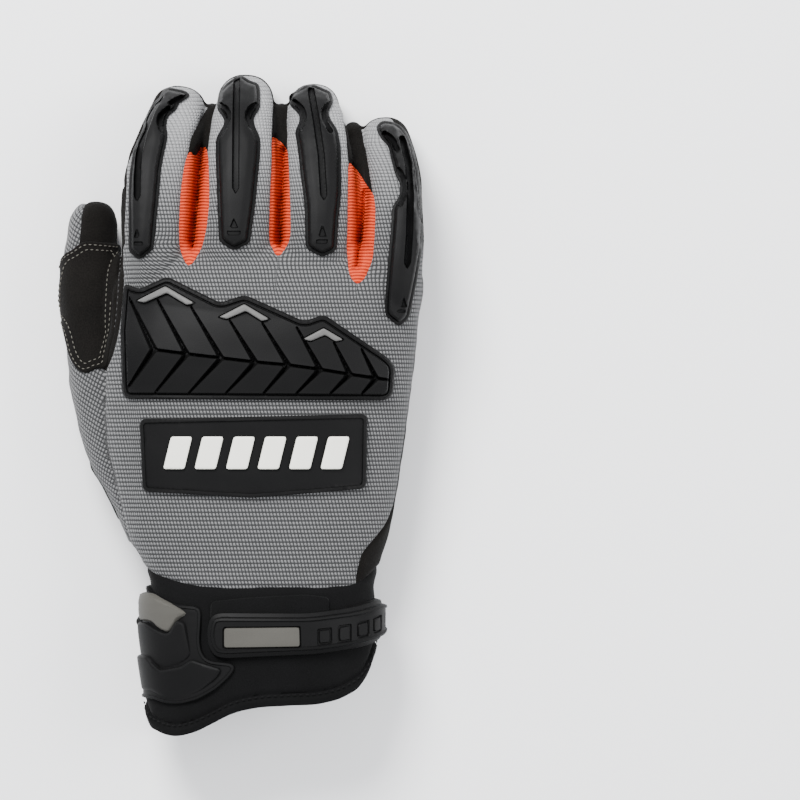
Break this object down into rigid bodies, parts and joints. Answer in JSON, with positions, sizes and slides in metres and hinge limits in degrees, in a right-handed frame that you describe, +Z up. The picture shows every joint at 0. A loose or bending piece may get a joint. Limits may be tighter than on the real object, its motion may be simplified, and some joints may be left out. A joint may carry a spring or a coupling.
{
  "type": "mechanic glove",
  "caption": "Right-hand mechanic glove lying palm down: hollow cloth hand and cuff, rubber guards on knuckles and fingers, strap at the wrist, grip patches on the palm.",
  "frame": {"origin": "under the middle of the glove's box, on the surface that it lies on", "axes": "+Z up through the back of the hand, +Y towards the fingertips, +X towards the little finger"},
  "size_m": [0.139, 0.251, 0.0579],
  "materials": {
    "knit": "ribbed knit, matt",
    "suede": "synthetic suede, matt",
    "rib": "ribbed stretch cloth, matt",
    "neoprene": "foam-backed cloth, matt",
    "rubber": "moulded, satin",
    "pale_rubber": "moulded, satin",
    "white_rubber": "moulded, satin",
    "grip": "suede printed with gloss lines"
  },
  "bodies": {
    "root": {"back_panel": "knit", "palm_panel": "suede", "thumb_back_panel": "knit", "thumb_palm_panel": "suede", "gusset_index_middle": "rib", "gusset_middle_ring": "rib", "gusset_ring_little": "rib", "thumb_saddle_patch": "suede", "thumb_heel_patch": "suede", "palm_grip_patch_upper": "grip", "palm_grip_patch_lower": "grip", "cuff": "neoprene", "cuff_hem": "neoprene", "wrist_strap": "rubber", "id_plate": "pale_rubber", "loop_pad": "neoprene", "side_guard": "rubber", "side_guard_scale": "pale_rubber", "knuckle_guard": "rubber", "chevron_1": "pale_rubber", "chevron_2": "pale_rubber", "chevron_3": "pale_rubber", "index_guard": "rubber", "middle_guard": "rubber", "ring_guard": "rubber", "little_guard": "rubber", "badge_plate": "rubber", "badge_bar_1": "white_rubber", "badge_bar_2": "white_rubber", "badge_bar_3": "white_rubber", "badge_bar_4": "white_rubber", "badge_bar_5": "white_rubber", "badge_bar_6": "white_rubber", "side_tag": "suede"}
  },
  "joints": []
}
